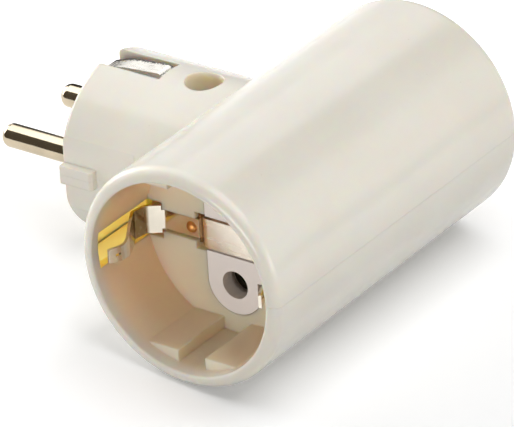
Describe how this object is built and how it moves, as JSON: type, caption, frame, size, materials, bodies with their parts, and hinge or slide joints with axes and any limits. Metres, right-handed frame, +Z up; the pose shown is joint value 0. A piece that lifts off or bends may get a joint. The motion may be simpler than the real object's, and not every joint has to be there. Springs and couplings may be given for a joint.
{
  "type": "double socket adapter",
  "caption": "Mains adapter: a barrel with a round earthed socket in each end, and a side stem that ends in a pin plug with earth contacts.",
  "frame": {"origin": "centre of the plug's face, on the parting plane of the housing, midway between the pins", "axes": "-X out of the plug's face along the pins, Y along the barrel, +Z up across the parting plane"},
  "size_m": [0.0858, 0.0816, 0.045],
  "materials": {
    "housing": "glossy ivory moulding, slightly translucent",
    "carrier": "satin white moulding",
    "nickel": "bright nickel plating",
    "tinned": "dull tinned strip",
    "brass": "plain stamped brass",
    "copper": "copper rivet",
    "steel": "zinc-plated steel"
  },
  "bodies": {
    "root": {"upper_housing": "housing", "lower_housing": "housing", "front_carrier": "carrier", "rear_carrier": "carrier", "front_earth_bridge": "tinned", "rear_earth_bridge": "tinned", "front_left_clip": "nickel", "front_right_clip": "nickel", "rear_left_clip": "nickel", "rear_right_clip": "nickel", "earth_rivets": "copper", "earth_frame": "tinned", "upper_plug_contact": "nickel", "lower_plug_contact": "nickel", "contact_rivet": "copper", "line_pin": "nickel", "neutral_pin": "nickel", "line_bus": "brass", "neutral_bus": "brass", "front_line_sleeve": "brass", "rear_line_sleeve": "brass", "front_neutral_sleeve": "brass", "rear_neutral_sleeve": "brass", "sleeve_rivets": "copper", "housing_screw": "steel", "housing_nut": "steel"}
  },
  "joints": []
}
